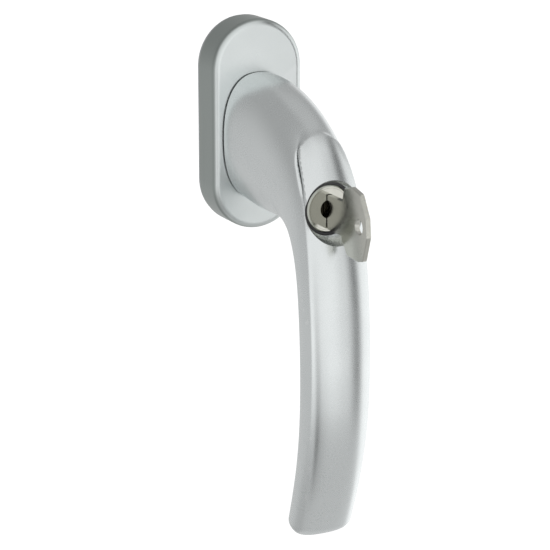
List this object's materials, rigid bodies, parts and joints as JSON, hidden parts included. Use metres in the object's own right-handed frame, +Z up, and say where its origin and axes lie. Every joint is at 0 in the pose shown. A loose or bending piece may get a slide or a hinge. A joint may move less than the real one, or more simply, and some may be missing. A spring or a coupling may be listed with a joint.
{
  "type": "window handle",
  "caption": "Lockable tilt-and-turn window handle: oval rosette with turning cover, bowed grip, square spindle, key lock and key.",
  "frame": {"origin": "on the spindle axis in the sash face, behind the middle of the rosette", "axes": "+Z up along the rosette, +Y into the sash along the spindle, -Y into the room, +X to the right seen from the room"},
  "size_m": [0.0306, 0.105, 0.1537],
  "materials": {
    "satin_aluminium": "satin, silver anodised",
    "zinc": "matt, as cast and zinc coated",
    "steel": "machined, zinc plated",
    "polished_steel": "bright",
    "nickel": "satin nickel plated",
    "brass": "stamped",
    "acetal": "moulded, matt black"
  },
  "bodies": {
    "rosette": {"base_plate": "zinc", "bearing_bush": "acetal", "glide_ring": "acetal", "snap_ring": "acetal", "lock_collar": "steel", "detent_balls": "polished_steel", "detent_springs": "steel"},
    "cover": {"rosette_cover": "satin_aluminium", "cover_liner": "acetal"},
    "handle": {"handle_grip": "satin_aluminium", "hub_sleeve": "steel", "square_spindle": "steel", "spindle_pin": "polished_steel", "detent_disc": "steel", "thrust_washer": "steel", "retaining_ring": "polished_steel", "foot_plate": "steel", "foot_plate_screws": "polished_steel", "lock_barrel": "nickel", "bore_ring": "acetal", "barrel_grub_screw": "steel"},
    "plug": {"lock_plug": "nickel", "wafer_tumblers": "brass", "wafer_springs": "polished_steel", "plug_clip": "polished_steel", "cam_rod": "steel"},
    "bolt": {"lock_bolt": "steel"},
    "key": {"key": "nickel"}
  },
  "joints": [
    {"name": "cover_turn", "type": "hinge", "parent": "rosette", "child": "cover", "pos_m": [0, 0, 0], "axis": [0, 1, 0], "range_deg": [0, 90]},
    {"name": "handle_turn", "type": "hinge", "parent": "rosette", "child": "handle", "pos_m": [0, 0, 0], "axis": [0, 1, 0], "range_deg": [0, 180]},
    {"name": "plug_turn", "type": "hinge", "parent": "handle", "child": "plug", "pos_m": [0, -0.0587, -0.0164], "axis": [0, 1, 0], "range_deg": [0, 90]},
    {"name": "bolt_slide", "type": "slide", "parent": "handle", "child": "bolt", "axis": [0, 0, 1], "range_m": [0, 0.0023]},
    {"name": "key_slide", "type": "slide", "parent": "plug", "child": "key", "axis": [0, -1, 0], "range_m": [0, 0.016]}
  ],
  "couplings": [
    {"joint": "bolt_slide", "follows": "plug_turn", "m_per_rad": 0.0014405}
  ]
}
